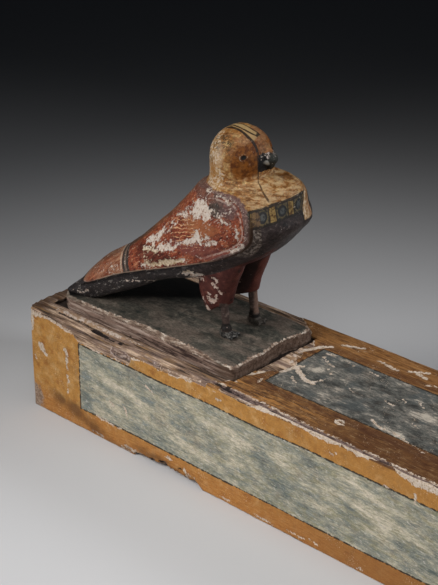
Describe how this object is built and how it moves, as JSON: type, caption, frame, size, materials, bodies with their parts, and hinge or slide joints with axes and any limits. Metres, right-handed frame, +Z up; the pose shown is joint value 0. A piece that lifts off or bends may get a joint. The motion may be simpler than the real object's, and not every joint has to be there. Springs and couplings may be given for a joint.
{
  "type": "painted wooden falcon on the base of a ptah-sokar-osiris figure",
  "caption": "Long painted wooden block of a funerary figure, with a carved, painted falcon standing on a thin plate that is let into one end of its top, looking along the block.",
  "frame": {"origin": "middle of the base's underside", "axes": "+Z up, +X along the base from the end that carries the falcon to the rear end, so the falcon looks roughly along +X"},
  "size_m": [0.42, 0.11, 0.2229],
  "materials": {
    "base_paint": "worn matte ochre paint with dark panels over pale ground and bare wood",
    "plate_paint": "worn matte dark green paint over pale ground",
    "falcon_paint": "worn matte red, dark and yellow paint over pale ground"
  },
  "bodies": {
    "root": {"base": "base_paint", "plinth_plate": "plate_paint", "falcon": "falcon_paint"}
  },
  "joints": []
}
